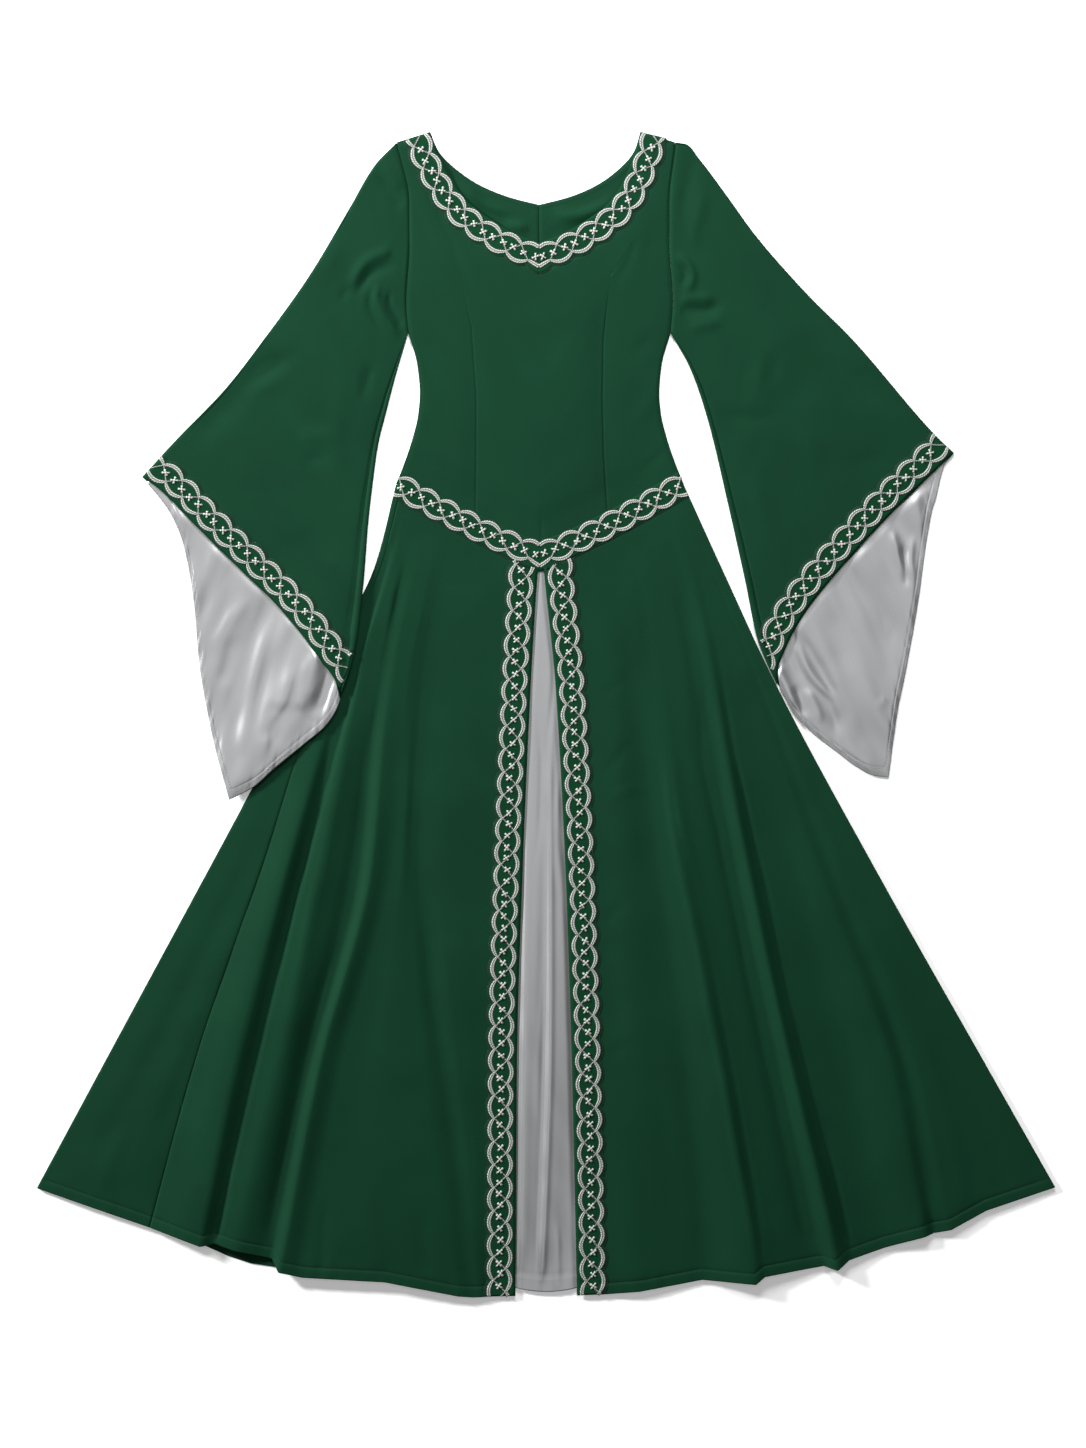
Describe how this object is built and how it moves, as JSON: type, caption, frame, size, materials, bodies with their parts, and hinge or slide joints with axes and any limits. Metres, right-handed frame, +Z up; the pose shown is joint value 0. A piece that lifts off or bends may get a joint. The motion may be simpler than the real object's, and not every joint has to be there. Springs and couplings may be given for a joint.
{
  "type": "long dress",
  "caption": "Long dress laid flat, with bell sleeves, a V neck, a pointed waist, an open front skirt over a satin panel, and embroidered ribbons along the edges.",
  "frame": {"origin": "middle of the dress's outline, on the surface that it lies on", "axes": "+Y up the dress towards the neck, +X to the right as seen from above, +Z up from the surface"},
  "size_m": [1.3234, 1.5142, 0.0181],
  "materials": {
    "green_cloth": "soft matte weave",
    "silver_satin": "satin",
    "embroidered_ribbon": "embroidered"
  },
  "bodies": {
    "root": {"bodice_front": "green_cloth", "bodice_back_left": "green_cloth", "bodice_back_right": "green_cloth", "skirt_front_left": "green_cloth", "skirt_front_right": "green_cloth", "skirt_back": "green_cloth", "skirt_inset": "silver_satin", "sleeve_left": "green_cloth", "sleeve_right": "green_cloth", "sleeve_lining_left": "silver_satin", "sleeve_lining_right": "silver_satin", "trim_neck": "embroidered_ribbon", "trim_waist": "embroidered_ribbon", "trim_front_left": "embroidered_ribbon", "trim_front_right": "embroidered_ribbon", "trim_sleeve_left": "embroidered_ribbon", "trim_sleeve_right": "embroidered_ribbon"}
  },
  "joints": []
}
